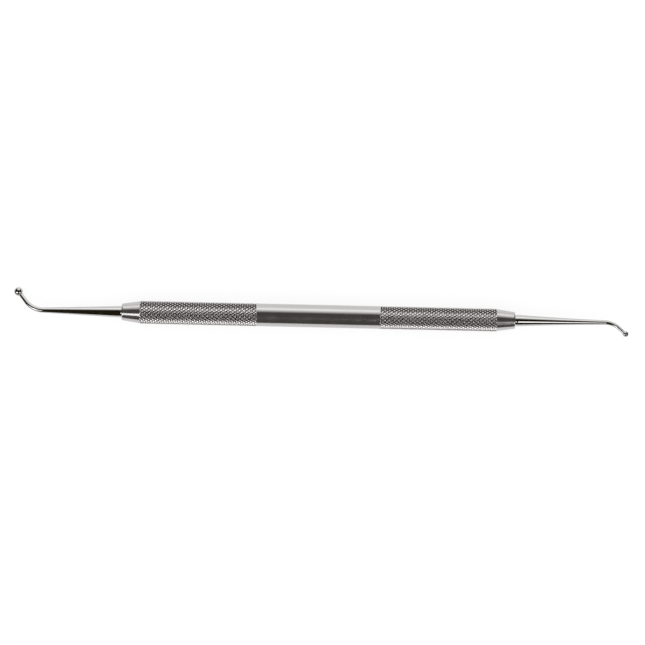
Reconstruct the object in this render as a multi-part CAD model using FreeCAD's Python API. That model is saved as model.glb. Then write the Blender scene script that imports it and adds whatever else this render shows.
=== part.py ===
import FreeCAD, Part
import math
import os
from FreeCAD import Vector

# Double-ended ball burnisher, a dental hand instrument, in millimetres.
# It lies on a table: +Z is up, the handle runs along X, the large ball is at -X and the small one at +X.
# The origin is on the table, under the middle of the instrument's outline.

# Handle: one bar, turned, knurled and drilled. Band, grips and end cones follow each other along X.
BAND_DIA = 6.35
BAND_LENGTH = 34.6
GRIP_DIA = 6.59            # over the points of the diamonds
GRIP_LENGTH = 32.5
CONE_DIA = 6.18            # where the cone meets the grip
CONE_LENGTH = 5.2
NOSE_DIA = 4.62
NOSE_ROUND = 0.35
MOUTH_CHAMFER = 0.2

# Knurl: pointed diamonds between two crossing sets of grooves.
DIAMOND_LENGTH = 1.30      # along the handle
DIAMOND_WIDTH = 0.985      # round the handle
DIAMOND_DEPTH = 0.245

# Drilled holes for the tips.
DRILL_POINT_ANGLE = 118.0
PRESS_CLEARANCE = 0.0      # on the radius: the tangs are pressed in, line to line
TANG_GAP = 1.0             # room behind each tang, above the drill point

# Both tips are turned from the same rod. The tang keeps its full thickness, and the shank is turned down.
SHANK_DIA = 3.175          # where it leaves the handle
TANG_STEP = 0.1125         # on the radius, from the shank up to the tang
STEP_DEPTH = 0.5           # from the nose in to the tang's full thickness
TANG_LENGTH = 12.0
TANG_CHAMFER = 0.3
COLLAR_LENGTH = 1.2        # straight shank just outside the nose, before the taper starts

# Large-ball tip. Lengths are counted from the handle's nose.
LARGE_STRAIGHT = 21.9      # nose to the start of the bend
LARGE_WAIST_DIA = 2.32     # half way down the taper
LARGE_BEND_DIA = 1.50
LARGE_BEND_RADIUS = 6.2
LARGE_BEND_ANGLE = 52.5
LARGE_NECK_DIA = 1.25
LARGE_NECK_LENGTH = 3.82   # end of the bend to the middle of the ball
LARGE_THROAT_DIA = 1.14    # the neck where it runs into the ball
LARGE_BALL_DIA = 2.45

# Small-ball tip, bent the other way.
SMALL_STRAIGHT = 25.1
SMALL_WAIST_DIA = 2.05
SMALL_BEND_DIA = 1.30
SMALL_BEND_RADIUS = 5.5
SMALL_BEND_ANGLE = 43.2
SMALL_NECK_DIA = 1.07
SMALL_NECK_LENGTH = 2.73
SMALL_THROAT_DIA = 0.96
SMALL_BALL_DIA = 1.65

GRIP_RADIUS = GRIP_DIA / 2
ROOT_RADIUS = GRIP_RADIUS - DIAMOND_DEPTH
HANDLE_HALF = BAND_LENGTH / 2 + GRIP_LENGTH + CONE_LENGTH
TANG_RADIUS = SHANK_DIA / 2 + TANG_STEP
BORE_RADIUS = TANG_RADIUS + PRESS_CLEARANCE
BORE_DEPTH = TANG_LENGTH + TANG_GAP
TEETH = round(math.pi * GRIP_DIA / DIAMOND_WIDTH)
TOOTH_STEP = 2 * math.pi / TEETH
ROW_PAIRS = max(1, round(GRIP_LENGTH / DIAMOND_LENGTH))
ROWS = 2 * ROW_PAIRS

X_AXIS = Vector(1, 0, 0)
Z_AXIS = Vector(0, 0, 1)
CENTRE = Vector(0, 0, 0)


def round_bar(outline):
    """A solid turned about X from (x, radius) corners that start and end on the axis."""
    corners = [Vector(x, 0, radius) for x, radius in outline]
    face = Part.Face(Part.makePolygon(corners + [corners[0]]))
    return face.revolve(CENTRE, X_AXIS, 360)


def knurled_grip(x_start):
    """One grip as a solid of pointed diamonds.

    Two rows of points lie straight below the axis, a quarter tooth to each side, so the handle
    stands on both of them.
    """
    row_step = GRIP_LENGTH / ROWS

    def ring(radius, row, shift):
        first = math.pi + TOOTH_STEP / 4 + (shift + 0.5 * (row % 2)) * TOOTH_STEP
        x = x_start + row * row_step
        angles = [first + i * TOOTH_STEP for i in range(TEETH)]
        return [Vector(x, radius * math.sin(a), radius * math.cos(a)) for a in angles]

    valleys = [ring(ROOT_RADIUS, row, 0) for row in range(ROWS + 1)]
    points = [ring(GRIP_RADIUS, row, 0.5) for row in range(ROWS + 1)]

    def flat(*corners):
        return Part.Face(Part.makePolygon(list(corners) + [corners[0]]))

    faces = []
    for row in range(ROWS + 1):
        for i in range(TEETH):
            point = points[row][i]
            left = valleys[row][i]
            right = valleys[row][(i + 1) % TEETH]
            across = (i + row % 2) % TEETH
            for next_row in (row - 1, row + 1):
                if 0 <= next_row <= ROWS:
                    end = valleys[next_row][across]
                    faces.append(flat(point, left, end))
                    faces.append(flat(point, end, right))
    for row in (0, ROWS):
        rim = [corner for pair in zip(valleys[row], points[row]) for corner in pair]
        faces.append(flat(*rim))
    return Part.Solid(Part.Shell(faces))


def nose_cone():
    """The cone at the +X end, with its nose rounded."""
    cone = Part.makeCone(
        CONE_DIA / 2, NOSE_DIA / 2, CONE_LENGTH, Vector(HANDLE_HALF - CONE_LENGTH, 0, 0), X_AXIS)
    rim = [edge for edge in cone.Edges if edge.CenterOfMass.isEqual(Vector(HANDLE_HALF, 0, 0), 1e-6)]
    return cone.makeFillet(NOSE_ROUND, rim)


def tip_hole():
    """The drilled hole in the +X nose, with its chamfered mouth and its pointed bottom."""
    x_bottom = HANDLE_HALF - BORE_DEPTH
    point = BORE_RADIUS / math.tan(math.radians(DRILL_POINT_ANGLE / 2))
    return round_bar([
        (x_bottom - point, 0),
        (x_bottom, BORE_RADIUS),
        (HANDLE_HALF - MOUTH_CHAMFER, BORE_RADIUS),
        (HANDLE_HALF, BORE_RADIUS + MOUTH_CHAMFER),
        (HANDLE_HALF, 0),
    ])


def handle():
    """Band, grips and cones as one bar, with a hole in each nose."""
    band = Part.makeCylinder(BAND_DIA / 2, BAND_LENGTH, Vector(-BAND_LENGTH / 2, 0, 0), X_AXIS)
    grips = [knurled_grip(BAND_LENGTH / 2), knurled_grip(-BAND_LENGTH / 2 - GRIP_LENGTH)]
    cone = nose_cone()
    hole = tip_hole()
    bar = band.fuse(grips + [cone, cone.mirror(CENTRE, X_AXIS)])
    return bar.cut([hole, hole.mirror(CENTRE, X_AXIS)])


def turned_shank(straight, waist_dia, bend_dia):
    """Tang and tapered shank, turned. The taper is one long hollow curve."""
    radius = SHANK_DIA / 2
    tang = [
        Vector(-TANG_LENGTH, 0, 0),
        Vector(-TANG_LENGTH, 0, TANG_RADIUS - TANG_CHAMFER),
        Vector(TANG_CHAMFER - TANG_LENGTH, 0, TANG_RADIUS),
        Vector(-STEP_DEPTH, 0, TANG_RADIUS),
        Vector(TANG_STEP - STEP_DEPTH, 0, radius),
        Vector(COLLAR_LENGTH, 0, radius),
    ]
    thin_end = Vector(straight, 0, bend_dia / 2)
    waist = Vector((COLLAR_LENGTH + straight) / 2, 0, waist_dia / 2)
    pull = waist * 2 - (tang[-1] + thin_end) / 2
    taper = Part.BezierCurve()
    taper.setPoles([tang[-1], pull, thin_end])
    back = Part.makePolygon([thin_end, Vector(straight, 0, 0), tang[0]])
    outline = Part.Wire(Part.makePolygon(tang).Edges + [taper.toShape()] + back.Edges)
    return Part.Face(outline).revolve(CENTRE, X_AXIS, 360)


def turned_end(neck_dia, neck_length, throat_dia, ball_dia):
    """Neck and ball, turned, along +X from the end of the bend."""
    ball_radius = ball_dia / 2
    throat_radius = throat_dia / 2
    throat_back = math.sqrt(ball_radius ** 2 - throat_radius ** 2)
    throat = Vector(neck_length - throat_back, 0, throat_radius)
    side = Vector(neck_length, 0, ball_radius)
    pole = Vector(neck_length + ball_radius, 0, 0)
    neck = Part.makePolygon([pole, CENTRE, Vector(0, 0, neck_dia / 2), throat])
    ball = Part.Arc(throat, side, pole).toShape()
    return Part.Face(Part.Wire(neck.Edges + [ball])).revolve(CENTRE, X_AXIS, 360)


def tip(straight, waist_dia, bend_dia, bend_radius, bend_angle,
        neck_dia, neck_length, throat_dia, ball_dia):
    """A tip that sticks out along +X from a nose at x = 0 and bends towards -Y.

    Gives the solid and the middle of its ball.
    """
    turn = math.radians(bend_angle)

    def on_arc(angle):
        return Vector(straight + bend_radius * math.sin(angle), bend_radius * (math.cos(angle) - 1), 0)

    bend_end = on_arc(turn)
    ahead = Vector(math.cos(turn), -math.sin(turn), 0)
    arc = Part.Arc(on_arc(0), on_arc(turn / 2), bend_end).toShape()
    bend = Part.BRepOffsetAPI.MakePipeShell(Part.Wire([arc]))
    bend.add(Part.Wire([Part.makeCircle(bend_dia / 2, on_arc(0), X_AXIS)]))
    bend.add(Part.Wire([Part.makeCircle(neck_dia / 2, bend_end, ahead)]))
    bend.build()
    bend.makeSolid()
    end = turned_end(neck_dia, neck_length, throat_dia, ball_dia)
    end.rotate(CENTRE, Z_AXIS, -bend_angle)
    end.translate(bend_end)
    shank = turned_shank(straight, waist_dia, bend_dia)
    return shank.fuse([bend.shape(), end]), bend_end + ahead * neck_length


large_tip, large_ball = tip(
    straight=LARGE_STRAIGHT,
    waist_dia=LARGE_WAIST_DIA,
    bend_dia=LARGE_BEND_DIA,
    bend_radius=LARGE_BEND_RADIUS,
    bend_angle=LARGE_BEND_ANGLE,
    neck_dia=LARGE_NECK_DIA,
    neck_length=LARGE_NECK_LENGTH,
    throat_dia=LARGE_THROAT_DIA,
    ball_dia=LARGE_BALL_DIA,
)
small_tip, small_ball = tip(
    straight=SMALL_STRAIGHT,
    waist_dia=SMALL_WAIST_DIA,
    bend_dia=SMALL_BEND_DIA,
    bend_radius=SMALL_BEND_RADIUS,
    bend_angle=SMALL_BEND_ANGLE,
    neck_dia=SMALL_NECK_DIA,
    neck_length=SMALL_NECK_LENGTH,
    throat_dia=SMALL_THROAT_DIA,
    ball_dia=SMALL_BALL_DIA,
)

# The handle lies on two rows of points, or on the band if that is thicker. Both tips are turned about
# the handle until the large ball touches the table too. One nose is the other's, half a turn about Z.
rest_height = max(GRIP_RADIUS * math.cos(TOOTH_STEP / 4), BAND_DIA / 2)
ball_drop = (rest_height - LARGE_BALL_DIA / 2) / -large_ball.y
roll = math.degrees(math.asin(max(-1.0, min(1.0, ball_drop))))
to_nose = FreeCAD.Placement(Vector(HANDLE_HALF, 0, 0), FreeCAD.Rotation())
half_turn = FreeCAD.Placement(CENTRE, FreeCAD.Rotation(Z_AXIS, 180))
rolled = FreeCAD.Placement(CENTRE, FreeCAD.Rotation(X_AXIS, -roll))
at_large_end = rolled * half_turn * to_nose
at_small_end = rolled * to_nose

# The middle of the outline, seen from above, goes over the origin.
large_reach = at_large_end.multVec(large_ball)
small_reach = at_small_end.multVec(small_ball)
x_low = large_reach.x - LARGE_BALL_DIA / 2
x_high = small_reach.x + SMALL_BALL_DIA / 2
y_low = min(small_reach.y - SMALL_BALL_DIA / 2, -GRIP_RADIUS)
y_high = max(large_reach.y + LARGE_BALL_DIA / 2, GRIP_RADIUS)
handle_middle = Vector(-(x_low + x_high) / 2, -(y_low + y_high) / 2, rest_height)
on_table = FreeCAD.Placement(handle_middle, FreeCAD.Rotation())

pieces = {
    "handle": handle().transformed(on_table.toMatrix()),
    "large_ball_tip": large_tip.transformed((on_table * at_large_end).toMatrix()),
    "small_ball_tip": small_tip.transformed((on_table * at_small_end).toMatrix()),
}

os.makedirs("parts", exist_ok=True)
for name, piece in pieces.items():
    piece.exportStep("parts/" + name + ".step")
    box = piece.BoundBox
    print(name, len(piece.Solids), "solid,", round(piece.Volume, 2), "mm3, valid", piece.isValid(),
          [round(v, 3) for v in (box.XMin, box.YMin, box.ZMin, box.XMax, box.YMax, box.ZMax)])
print("handle middle", [round(v, 3) for v in handle_middle], "roll", round(roll, 2))
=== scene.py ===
import math

import bmesh
import bpy
from mathutils import Matrix, Vector


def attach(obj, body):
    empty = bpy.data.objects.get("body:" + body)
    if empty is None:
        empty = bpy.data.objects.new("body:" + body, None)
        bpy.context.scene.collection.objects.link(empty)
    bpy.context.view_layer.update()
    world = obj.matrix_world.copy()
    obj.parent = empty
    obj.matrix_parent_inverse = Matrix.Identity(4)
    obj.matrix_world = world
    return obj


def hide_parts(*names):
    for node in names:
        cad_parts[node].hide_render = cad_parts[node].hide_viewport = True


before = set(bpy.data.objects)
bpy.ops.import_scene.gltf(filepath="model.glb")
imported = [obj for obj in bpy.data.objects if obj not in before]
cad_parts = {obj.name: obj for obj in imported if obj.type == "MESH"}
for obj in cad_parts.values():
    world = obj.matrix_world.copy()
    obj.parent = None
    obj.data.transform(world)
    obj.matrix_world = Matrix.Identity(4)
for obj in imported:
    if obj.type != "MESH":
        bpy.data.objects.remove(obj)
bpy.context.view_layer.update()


# Handle: one stainless bar, turned and knurled, with a plain band in the middle and a cone at each end.
# The diamonds of the grips are cut by two crossing sets of grooves, and their tips are worn flat.
# Each nose is drilled, and its mouth is chamfered to take the tang of a tip. Sizes are in millimetres.
MM = 0.001
HANDLE_MIDDLE = Vector((-0.655, -1.171, 3.286))
BAND_RADIUS = 3.175
BAND_END = 17.3
BAND_RAMP = 0.09
GRIP_END = 49.8
GRIP_RAMP = 0.10
CONE_RADIUS = 3.075
NOSE_END = 55.0
MOUTH_RADIUS = 1.90
MOUTH_CHAMFER = 0.2
HOLE_RADIUS = 1.70
HOLE_DEPTH = 13.0
DRILL_POINT_DEPTH = 14.02
TEETH = 21
ROW_PAIRS = 25
DIAMOND_LENGTH = 1.30
ROOT_RADIUS = 3.04
CREST_RADIUS = 3.285
HALF_GROOVE = 0.018
FLANK_WIDTH = 0.25
HIP_WEAR = 0.028
ROUND_SIDES = 96


def all_of(bm):
    return bm.faces[:] + bm.edges[:] + bm.verts[:]


def one_diamond(first_angle):
    """A diamond drawn flat between half groove floors, raised to a blunt top, and laid on the handle."""
    half_long = DIAMOND_LENGTH / 2
    half_wide = math.pi * ROOT_RADIUS / TEETH
    bm = bmesh.new()
    corners = [bm.verts.new(c) for c in (
        (half_long, 0, 0), (0, half_wide, 0), (-half_long, 0, 0), (0, -half_wide, 0))]
    body = bm.faces.new(corners)
    bmesh.ops.inset_individual(bm, faces=[body], thickness=HALF_GROOVE, use_even_offset=True)
    flanks = bmesh.ops.inset_individual(
        bm, faces=[body], thickness=FLANK_WIDTH, use_even_offset=True)["faces"]
    bmesh.ops.translate(bm, verts=body.verts, vec=(0, 0, CREST_RADIUS - ROOT_RADIUS))
    hips = [e for e in bm.edges if all(f in flanks or f is body for f in e.link_faces)]
    bmesh.ops.bevel(
        bm, geom=hips, offset=HIP_WEAR, offset_type="OFFSET", segments=1, profile=0.5,
        affect="EDGES", material=-1, clamp_overlap=True)
    for v in bm.verts:
        angle = first_angle + v.co.y / ROOT_RADIUS
        radius = ROOT_RADIUS + v.co.z
        v.co = Vector((v.co.x, radius * math.sin(angle), radius * math.cos(angle)))
    return bm


def circle_at(bm, x, radius, sides):
    """Adds an open round rim across the axis at x, and gives its edges."""
    circle = bmesh.ops.create_circle(
        bm, cap_ends=False, radius=radius, segments=sides,
        matrix=Matrix.Translation((x, 0, 0)) @ Matrix.Rotation(math.pi / 2, 4, "Y"))
    return list({e for v in circle["verts"] for e in v.link_edges})


def drawn_to(bm, rim, x, radius):
    """Extrudes an open rim to a round of this radius at x, and gives the new rim."""
    grown = bmesh.ops.extrude_edge_only(bm, edges=rim)["geom"]
    verts = {g for g in grown if isinstance(g, bmesh.types.BMVert)}
    for v in verts:
        out = Vector((0, v.co.y, v.co.z)).normalized() * radius
        v.co = Vector((x, out.y, out.z))
    return [g for g in grown if isinstance(g, bmesh.types.BMEdge) and set(g.verts) <= verts]


def rounded_off(bm, x_rim, x, radius):
    """Bridges the open rim of the knurl at x_rim to a new round one at x, and gives the round one."""
    rim = [e for e in bm.edges if e.is_boundary and all(abs(v.co.x - x_rim) < 1e-4 for v in e.verts)]
    new_rim = circle_at(bm, x, radius, ROUND_SIDES)
    bmesh.ops.bridge_loops(bm, edges=rim + new_rim)
    return new_rim


def closed_at(bm, rim, x):
    """Closes an open rim with a point on the axis."""
    drawn_to(bm, rim, x, 1e-5)
    bmesh.ops.remove_doubles(bm, verts=bm.verts, dist=5e-5)


def made_object(bm, name):
    """Puts a finished bmesh into the scene under this name."""
    mesh = bpy.data.meshes.new(name)
    bm.to_mesh(mesh)
    bm.free()
    made = bpy.data.objects.new(name, mesh)
    bpy.context.scene.collection.objects.link(made)
    return made


def finished(bm, name, place):
    """Merges and turns the mesh the right way, puts it in its place in metres, and makes the object."""
    bmesh.ops.remove_doubles(bm, verts=bm.verts, dist=2e-4)
    bmesh.ops.recalc_face_normals(bm, faces=bm.faces)
    bmesh.ops.transform(bm, matrix=Matrix.Scale(MM, 4) @ place, verts=bm.verts)
    for f in bm.faces:
        f.smooth = True
    return made_object(bm, name)


tooth_angle = 2 * math.pi / TEETH
handle_bm = bmesh.new()
for first_angle, first_x in (
        (math.pi - tooth_angle / 4, 0.0), (math.pi + tooth_angle / 4, DIAMOND_LENGTH / 2)):
    ring = one_diamond(first_angle)
    bmesh.ops.spin(
        ring, geom=all_of(ring), cent=(0, 0, 0), axis=(1, 0, 0), dvec=(0, 0, 0),
        angle=tooth_angle * (TEETH - 1), steps=TEETH - 1, use_duplicate=True)
    ring_mesh = bpy.data.meshes.new("ring")
    ring.to_mesh(ring_mesh)
    ring.free()
    for i in range(ROW_PAIRS + 1):
        before = len(handle_bm.verts)
        handle_bm.from_mesh(ring_mesh)
        handle_bm.verts.ensure_lookup_table()
        x = BAND_END + first_x + i * DIAMOND_LENGTH
        bmesh.ops.translate(handle_bm, verts=handle_bm.verts[before:], vec=(x, 0, 0))
    bpy.data.meshes.remove(ring_mesh)
for x, normal in ((BAND_END, -1), (GRIP_END, 1)):
    bmesh.ops.bisect_plane(
        handle_bm, geom=all_of(handle_bm), dist=1e-5,
        plane_co=(x, 0, 0), plane_no=(normal, 0, 0), clear_outer=True)
bmesh.ops.remove_doubles(handle_bm, verts=handle_bm.verts, dist=2e-4)
rim = rounded_off(handle_bm, BAND_END, BAND_END - BAND_RAMP, BAND_RADIUS)
drawn_to(handle_bm, rim, 0, BAND_RADIUS)
rim = rounded_off(handle_bm, GRIP_END, GRIP_END + GRIP_RAMP, CONE_RADIUS)
for before_end, radius in (
        (0.40, 2.382), (0.22, 2.345), (0.09, 2.270), (0.015, 2.165), (0, 2.05),
        (0, MOUTH_RADIUS), (MOUTH_CHAMFER, HOLE_RADIUS), (HOLE_DEPTH, HOLE_RADIUS)):
    rim = drawn_to(handle_bm, rim, NOSE_END - before_end, radius)
closed_at(handle_bm, rim, NOSE_END - DRILL_POINT_DEPTH)
other_half = bmesh.ops.duplicate(handle_bm, geom=all_of(handle_bm))["geom"]
bmesh.ops.rotate(
    handle_bm, verts=[g for g in other_half if isinstance(g, bmesh.types.BMVert)],
    matrix=Matrix.Rotation(math.pi, 4, "Z"))
handle = finished(handle_bm, "knurled_handle", Matrix.Translation(HANDLE_MIDDLE))
even = handle.modifiers.new("even_facets", "WEIGHTED_NORMAL")
even.weight = 50
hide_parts("handle")
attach(handle, "root")


def axes_of(nodes, links, source):
    """The X, Y and Z of a place, each on its own."""
    made = nodes.new("ShaderNodeSeparateXYZ")
    links.new(source, made.inputs["Vector"])
    return made.outputs


def without_sign(nodes, links, source):
    """How far a value is from zero."""
    made = nodes.new("ShaderNodeMath")
    made.operation = "ABSOLUTE"
    links.new(source, made.inputs[0])
    return made.outputs["Value"]


def noise(nodes, links, source, scale, detail, stretch):
    """Noise on the piece itself, stretched by a Mapping node."""
    mapping = nodes.new("ShaderNodeMapping")
    mapping.inputs["Scale"].default_value = stretch
    links.new(source, mapping.inputs["Vector"])
    made = nodes.new("ShaderNodeTexNoise")
    made.inputs["Scale"].default_value = scale
    made.inputs["Detail"].default_value = detail
    links.new(mapping.outputs["Vector"], made.inputs["Vector"])
    return made.outputs["Fac"]


def spread(nodes, links, source, low, high, out_low, out_high):
    """Maps low..high of a value to out_low..out_high, and holds it there."""
    made = nodes.new("ShaderNodeMapRange")
    for name, value in (
            ("From Min", low), ("From Max", high), ("To Min", out_low), ("To Max", out_high)):
        made.inputs[name].default_value = value
    links.new(source, made.inputs["Value"])
    return made.outputs["Result"]


def combined(nodes, links, a, b, operation):
    """Two values put together by a Math node."""
    made = nodes.new("ShaderNodeMath")
    made.operation = operation
    links.new(a, made.inputs[0])
    links.new(b, made.inputs[1])
    return made.outputs["Value"]


# The band shows the steel's own colour. The grips' colour is painted brighter, a painted highlight for the
# light that the knurl's facets catch.
BAND_STEEL = (0.60, 0.586, 0.583, 1)
GRIP_STEEL_PAINTED_BRIGHT = (0.92, 0.885, 0.895, 1)
# Painted shade: the grips are painted darker towards the bottom of the grooves, between the two radii
# below.
GROOVE_PAINTED_SHADE = (0.41, 0.39, 0.395, 1)
GROOVE_DEEP, GROOVE_SHALLOW = 3.06, 3.18
EDGE_FADE = 0.15

turned_steel = bpy.data.materials.new("turned_steel")
turned_steel.use_nodes = True
nodes, links = turned_steel.node_tree.nodes, turned_steel.node_tree.links
shader = nodes["Principled BSDF"]
place = nodes.new("ShaderNodeTexCoord").outputs["Object"]
centred = nodes.new("ShaderNodeMapping")
centred.inputs["Location"].default_value = -HANDLE_MIDDLE * MM
links.new(place, centred.inputs["Vector"])
axes = axes_of(nodes, links, centred.outputs["Vector"])
across = nodes.new("ShaderNodeCombineXYZ")
links.new(axes["Y"], across.inputs["Y"])
links.new(axes["Z"], across.inputs["Z"])
from_axis = nodes.new("ShaderNodeVectorMath")
from_axis.operation = "LENGTH"
links.new(across.outputs["Vector"], from_axis.inputs[0])
groove = spread(
    nodes, links, from_axis.outputs["Value"], GROOVE_DEEP * MM, GROOVE_SHALLOW * MM, 1.0, 0.0)
from_middle = without_sign(nodes, links, axes["X"])
in_grip = combined(
    nodes, links,
    spread(nodes, links, from_middle, (BAND_END - EDGE_FADE) * MM, BAND_END * MM, 0.0, 1.0),
    spread(nodes, links, from_middle, GRIP_END * MM, (GRIP_END + EDGE_FADE) * MM, 1.0, 0.0), "MULTIPLY")
shadowed = combined(nodes, links, in_grip, groove, "MULTIPLY")
rings = noise(nodes, links, centred.outputs["Vector"], 1.0, 3.0, (16000, 60, 60))
clouds = noise(nodes, links, centred.outputs["Vector"], 420.0, 4.0, (1, 1, 1))
rough = combined(
    nodes, links, spread(nodes, links, rings, 0.35, 0.75, 0.10, 0.24),
    spread(nodes, links, clouds, 0.3, 0.7, -0.02, 0.05), "ADD")
rolled_in = nodes.new("ShaderNodeMix")
links.new(in_grip, rolled_in.inputs["Factor"])
links.new(rough, rolled_in.inputs["A"])
links.new(spread(nodes, links, clouds, 0.3, 0.7, 0.04, 0.08), rolled_in.inputs["B"])
links.new(rolled_in.outputs["Result"], shader.inputs["Roughness"])
links.new(spread(nodes, links, in_grip, 0.0, 1.0, 0.95, 1.0), shader.inputs["Metallic"])
# Painted highlight: the grips get the brighter colour, and the band keeps the steel's own colour.
bright = nodes.new("ShaderNodeMix")
bright.data_type = "RGBA"
bright.inputs["A"].default_value = BAND_STEEL
bright.inputs["B"].default_value = GRIP_STEEL_PAINTED_BRIGHT
links.new(in_grip, bright.inputs["Factor"])
# Painted shade: deep in the grooves the grips' colour is mixed towards the dark groove colour.
colour_mix = nodes.new("ShaderNodeMix")
colour_mix.data_type = "RGBA"
colour_mix.inputs["B"].default_value = GROOVE_PAINTED_SHADE
links.new(shadowed, colour_mix.inputs["Factor"])
links.new(bright.outputs["Result"], colour_mix.inputs["A"])
links.new(colour_mix.outputs["Result"], shader.inputs["Base Color"])
marks = nodes.new("ShaderNodeBump")
marks.inputs["Strength"].default_value = 0.25
marks.inputs["Distance"].default_value = 0.004 * MM
links.new(rings, marks.inputs["Height"])
links.new(marks.outputs["Normal"], shader.inputs["Normal"])
handle.data.materials.append(turned_steel)


# Tips: each is turned from rod with its ball on the end, bent, hardened and mirror-polished. The straight
# tang is pressed into the drilled nose, and a short full-thickness collar stands outside it.
# The taper is one long hollow curve that runs into the bend, and a slim neck carries the ball.
SHANK_RADIUS = 1.5875
TANG_RADIUS = 1.70
TANG_LENGTH = 12.0
TANG_CHAMFER = 0.3
COLLAR_END = 1.2
TURNED_SIDES = 72
TAPER_STEPS = 40
BEND_STEPS = 48
FILLET_STEPS = 5
BALL_STEPS = 28


def turned_tip(
        name, straight, waist, bend_thick, bend_radius, bend_angle,
        neck_thick, neck_length, throat, ball, place):
    """Draws the outline of a tip along its straight rod, and then bends it. Thicknesses are radii."""
    turn = math.radians(bend_angle)
    bend_end = straight + bend_radius * turn
    ball_middle = bend_end + neck_length
    profile = [
        (TANG_CHAMFER - TANG_LENGTH, TANG_RADIUS), (-0.5, TANG_RADIUS), (-0.39, SHANK_RADIUS),
        (0.4, SHANK_RADIUS), (COLLAR_END, SHANK_RADIUS)]
    pull = 2 * waist - (SHANK_RADIUS + bend_thick) / 2
    for i in range(1, TAPER_STEPS + 1):
        t = i / TAPER_STEPS
        profile.append((
            COLLAR_END + (straight - COLLAR_END) * t,
            SHANK_RADIUS * (1 - t) ** 2 + 2 * pull * t * (1 - t) + bend_thick * t ** 2))
    for i in range(1, BEND_STEPS + 1):
        t = i / BEND_STEPS
        profile.append((
            straight + (bend_end - straight) * t, bend_thick + (neck_thick - bend_thick) * t))
    shoulder = ball_middle - math.sqrt(ball ** 2 - throat ** 2)
    profile.append(((bend_end + shoulder) / 2, (neck_thick + throat) / 2))
    fillet_angle = math.asin(throat / ball) + 0.16
    fillet_start = Vector((shoulder - 0.2 * ball, throat + (neck_thick - throat) * 0.08))
    fillet_pull = Vector((shoulder, throat))
    fillet_end = Vector((ball_middle - ball * math.cos(fillet_angle), ball * math.sin(fillet_angle)))
    for i in range(FILLET_STEPS + 1):
        t = i / FILLET_STEPS
        at = fillet_start * (1 - t) ** 2 + fillet_pull * 2 * t * (1 - t) + fillet_end * t ** 2
        profile.append((at.x, at.y))
    for i in range(1, BALL_STEPS):
        angle = fillet_angle + (math.pi - fillet_angle) * i / BALL_STEPS
        profile.append((ball_middle - ball * math.cos(angle), ball * math.sin(angle)))
    bm = bmesh.new()
    rim = circle_at(bm, -TANG_LENGTH, TANG_RADIUS - TANG_CHAMFER, TURNED_SIDES)
    for x, radius in profile:
        rim = drawn_to(bm, rim, x, radius)
    closed_at(bm, rim, ball_middle + ball)
    bmesh.ops.holes_fill(bm, edges=[e for e in bm.edges if e.is_boundary], sides=0)
    for v in bm.verts:
        past = v.co.x - straight
        if past > 0:
            angle = min(past / bend_radius, turn)
            rest = past - angle * bend_radius
            v.co = Vector((
                straight + (bend_radius + v.co.y) * math.sin(angle) + rest * math.cos(angle),
                (bend_radius + v.co.y) * math.cos(angle) - bend_radius - rest * math.sin(angle),
                v.co.z))
    return finished(bm, name, place)


REST_ROLL = -22.19
rolled = Matrix.Translation(HANDLE_MIDDLE) @ Matrix.Rotation(math.radians(REST_ROLL), 4, "X")
to_nose = Matrix.Translation((NOSE_END, 0, 0))
large_tip = turned_tip(
    "large_ball_end", straight=21.9, waist=1.16, bend_thick=0.75, bend_radius=6.2, bend_angle=52.5,
    neck_thick=0.625, neck_length=3.82, throat=0.57, ball=1.222,
    place=rolled @ Matrix.Rotation(math.pi, 4, "Z") @ to_nose)
small_tip = turned_tip(
    "small_ball_end", straight=25.1, waist=1.025, bend_thick=0.65, bend_radius=5.5, bend_angle=43.2,
    neck_thick=0.535, neck_length=2.73, throat=0.48, ball=0.822,
    place=rolled @ to_nose)

polished_steel = bpy.data.materials.new("polished_steel")
polished_steel.use_nodes = True
nodes, links = polished_steel.node_tree.nodes, polished_steel.node_tree.links
shader = nodes["Principled BSDF"]
shader.inputs["Metallic"].default_value = 1.0
place = nodes.new("ShaderNodeTexCoord").outputs["Object"]
streaks = noise(nodes, links, place, 1.0, 4.0, (500, 22000, 22000))
smears = noise(nodes, links, place, 900.0, 3.0, (1, 1, 1))
rough = combined(
    nodes, links, spread(nodes, links, streaks, 0.45, 0.8, 0.03, 0.05),
    spread(nodes, links, smears, 0.35, 0.7, 0.0, 0.03), "ADD")
links.new(rough, shader.inputs["Roughness"])
# The tips' colour differs a little at random, following the smears.
colour_mix = nodes.new("ShaderNodeMix")
colour_mix.data_type = "RGBA"
colour_mix.inputs["A"].default_value = (0.66, 0.655, 0.65, 1)
colour_mix.inputs["B"].default_value = (0.60, 0.595, 0.585, 1)
links.new(smears, colour_mix.inputs["Factor"])
links.new(colour_mix.outputs["Result"], shader.inputs["Base Color"])
for tip, node in ((large_tip, "large_ball_tip"), (small_tip, "small_ball_tip")):
    tip.data.materials.append(polished_steel)
    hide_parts(node)
    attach(tip, "root")


# Studio: a white table seen straight from above through a long lens. Metal also shows it white under the
# instrument, and dark past both its ends. A dark hood over it, seen only in the metal, is open towards the
# soft light on the far side, and small panels in front give the bright streaks. Sizes are in metres.
WHITE = (1, 1, 1, 1)
TABLE_RADIUS = 4.0
GLOW_SHARE = 0.85
SHEET_END, PAST_SHEET = 0.088, 0.10
HOOD_RADIUS = 1.5
HOOD_RIM = 0.004
PANEL_HEIGHT = 0.6


def white_where_seen(nodes, links, seen, lit):
    """Shows the seen shader to the camera and in metal, and the lit one to everything else."""
    path = nodes.new("ShaderNodeLightPath")
    either = combined(
        nodes, links, path.outputs["Is Camera Ray"], path.outputs["Is Glossy Ray"], "MAXIMUM")
    either = combined(nodes, links, either, path.outputs["Is Transmission Ray"], "MAXIMUM")
    mix = nodes.new("ShaderNodeMixShader")
    links.new(either, mix.inputs["Fac"])
    links.new(lit, mix.inputs[1])
    links.new(seen, mix.inputs[2])
    return mix.outputs["Shader"]


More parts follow.
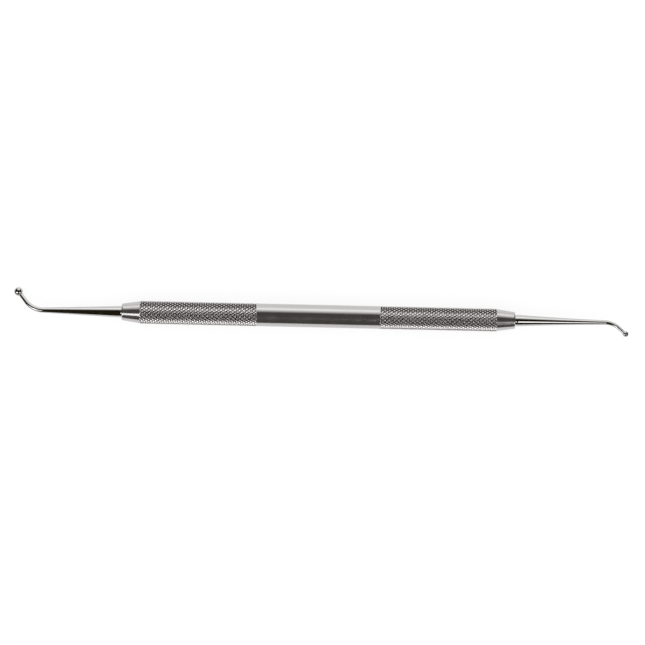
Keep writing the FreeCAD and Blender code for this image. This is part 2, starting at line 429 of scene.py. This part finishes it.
floor_bm = bmesh.new()
bmesh.ops.create_circle(floor_bm, cap_ends=True, radius=TABLE_RADIUS, segments=96)
floor = made_object(floor_bm, "table_top")
white = bpy.data.materials.new("white_table")
white.use_nodes = True
nodes, links = white.node_tree.nodes, white.node_tree.links
lit = nodes["Principled BSDF"]
lit.inputs["Base Color"].default_value = (0.95, 0.95, 0.95, 1)
lit.inputs["Roughness"].default_value = 0.9
lit.inputs["Specular IOR Level"].default_value = 0.0
glow = nodes.new("ShaderNodeEmission")
glow.inputs["Color"].default_value = WHITE
part_lit = nodes.new("ShaderNodeMixShader")
part_lit.inputs["Fac"].default_value = GLOW_SHARE
links.new(lit.outputs["BSDF"], part_lit.inputs[1])
links.new(glow.outputs["Emission"], part_lit.inputs[2])
axes = axes_of(nodes, links, nodes.new("ShaderNodeTexCoord").outputs["Object"])
beside = without_sign(nodes, links, axes["X"])
path = nodes.new("ShaderNodeLightPath")
off_the_sheet = combined(
    nodes, links, path.outputs["Is Glossy Ray"],
    spread(nodes, links, beside, SHEET_END, PAST_SHEET, 0.12, 1.0), "MULTIPLY")
dark = nodes.new("ShaderNodeEmission")
dark.inputs["Color"].default_value = (0.01, 0.01, 0.01, 1)
sheet = nodes.new("ShaderNodeMixShader")
links.new(off_the_sheet, sheet.inputs["Fac"])
links.new(part_lit.outputs["Shader"], sheet.inputs[1])
links.new(dark.outputs["Emission"], sheet.inputs[2])
links.new(
    white_where_seen(nodes, links, sheet.outputs["Shader"], lit.outputs["BSDF"]),
    nodes["Material Output"].inputs["Surface"])
floor.data.materials.append(white)

world = bpy.data.worlds.new("white_room")
bpy.context.scene.world = world
world.use_nodes = True
room = world.node_tree.nodes["Background"]
room.inputs["Color"].default_value = WHITE
room.inputs["Strength"].default_value = 1.0

hood_bm = bmesh.new()
bmesh.ops.create_uvsphere(hood_bm, u_segments=96, v_segments=48, radius=HOOD_RADIUS)
bmesh.ops.bisect_plane(
    hood_bm, geom=all_of(hood_bm), dist=1e-6,
    plane_co=(0, 0, HOOD_RIM), plane_no=(0, 0, -1), clear_outer=True)
hood = made_object(hood_bm, "dark_hood")
hood.visible_camera = hood.visible_diffuse = hood.visible_shadow = False
cloth = bpy.data.materials.new("dark_cloth")
cloth.use_nodes = True
nodes, links = cloth.node_tree.nodes, cloth.node_tree.links
lit = nodes["Principled BSDF"]
lit.inputs["Base Color"].default_value = (0.017, 0.013, 0.006, 1)
lit.inputs["Roughness"].default_value = 1.0
lit.inputs["Specular IOR Level"].default_value = 0.0
axes = axes_of(nodes, links, nodes.new("ShaderNodeTexCoord").outputs["Object"])
lean = combined(nodes, links, axes["Y"], axes["Z"], "ARCTAN2")
beside = without_sign(nodes, links, axes["X"])
opening = combined(
    nodes, links, spread(nodes, links, lean, math.radians(26), math.radians(52), 0.0, 1.0),
    spread(nodes, links, beside, 0.55, 0.80, 1.0, 0.0), "MULTIPLY")
clear = nodes.new("ShaderNodeBsdfTransparent")
soft_edge = nodes.new("ShaderNodeMixShader")
links.new(opening, soft_edge.inputs["Fac"])
links.new(lit.outputs["BSDF"], soft_edge.inputs[1])
links.new(clear.outputs["BSDF"], soft_edge.inputs[2])
links.new(soft_edge.outputs["Shader"], nodes["Material Output"].inputs["Surface"])
hood.data.materials.append(cloth)


def soft_light(name, place, target, wide, high, radiance):
    """A soft panel that faces a point. Its power follows from its size and how bright it looks."""
    lamp = bpy.data.lights.new(name, "AREA")
    lamp.shape = "RECTANGLE"
    lamp.size, lamp.size_y = wide, high
    lamp.energy = radiance * math.pi * wide * high
    light = bpy.data.objects.new(name, lamp)
    bpy.context.scene.collection.objects.link(light)
    light.location = place
    light.rotation_mode = "QUATERNION"
    light.rotation_quaternion = (Vector(place) - Vector(target)).to_track_quat("Z", "Y")
    light.visible_camera = False


soft_light("window_light", (0, 1.28, 0.57), (0, 0, 0), wide=2.4, high=0.42, radiance=0.35)
for name, left, right, front, back, radiance in (
        ("left_strip", -0.50, -0.21, -0.51, -0.21, 1.7),
        ("far_left_panel", -1.20, -0.50, -0.85, -0.30, 3.4),
        ("right_strip", 0.11, 0.25, -0.51, -0.21, 1.9),
        ("dim_strip", 0.25, 0.40, -0.51, -0.21, 0.3),
        ("far_right_panel", 0.40, 1.20, -0.85, -0.30, 1.3)):
    x, y = (left + right) / 2, (front + back) / 2
    soft_light(name, (x, y, PANEL_HEIGHT), (x, y, 0), right - left, back - front, radiance)

camera_data = bpy.data.cameras.new("camera")
camera_data.lens = 200
camera_data.sensor_width = 36
camera_data.clip_end = 20
camera = bpy.data.objects.new("camera", camera_data)
camera.location = (0.000531, -0.002918, 1.00529)
camera.rotation_euler = (0, 0, math.radians(1.265))
bpy.context.scene.collection.objects.link(camera)
bpy.context.scene.camera = camera
bpy.context.scene.view_settings.view_transform = "Standard"
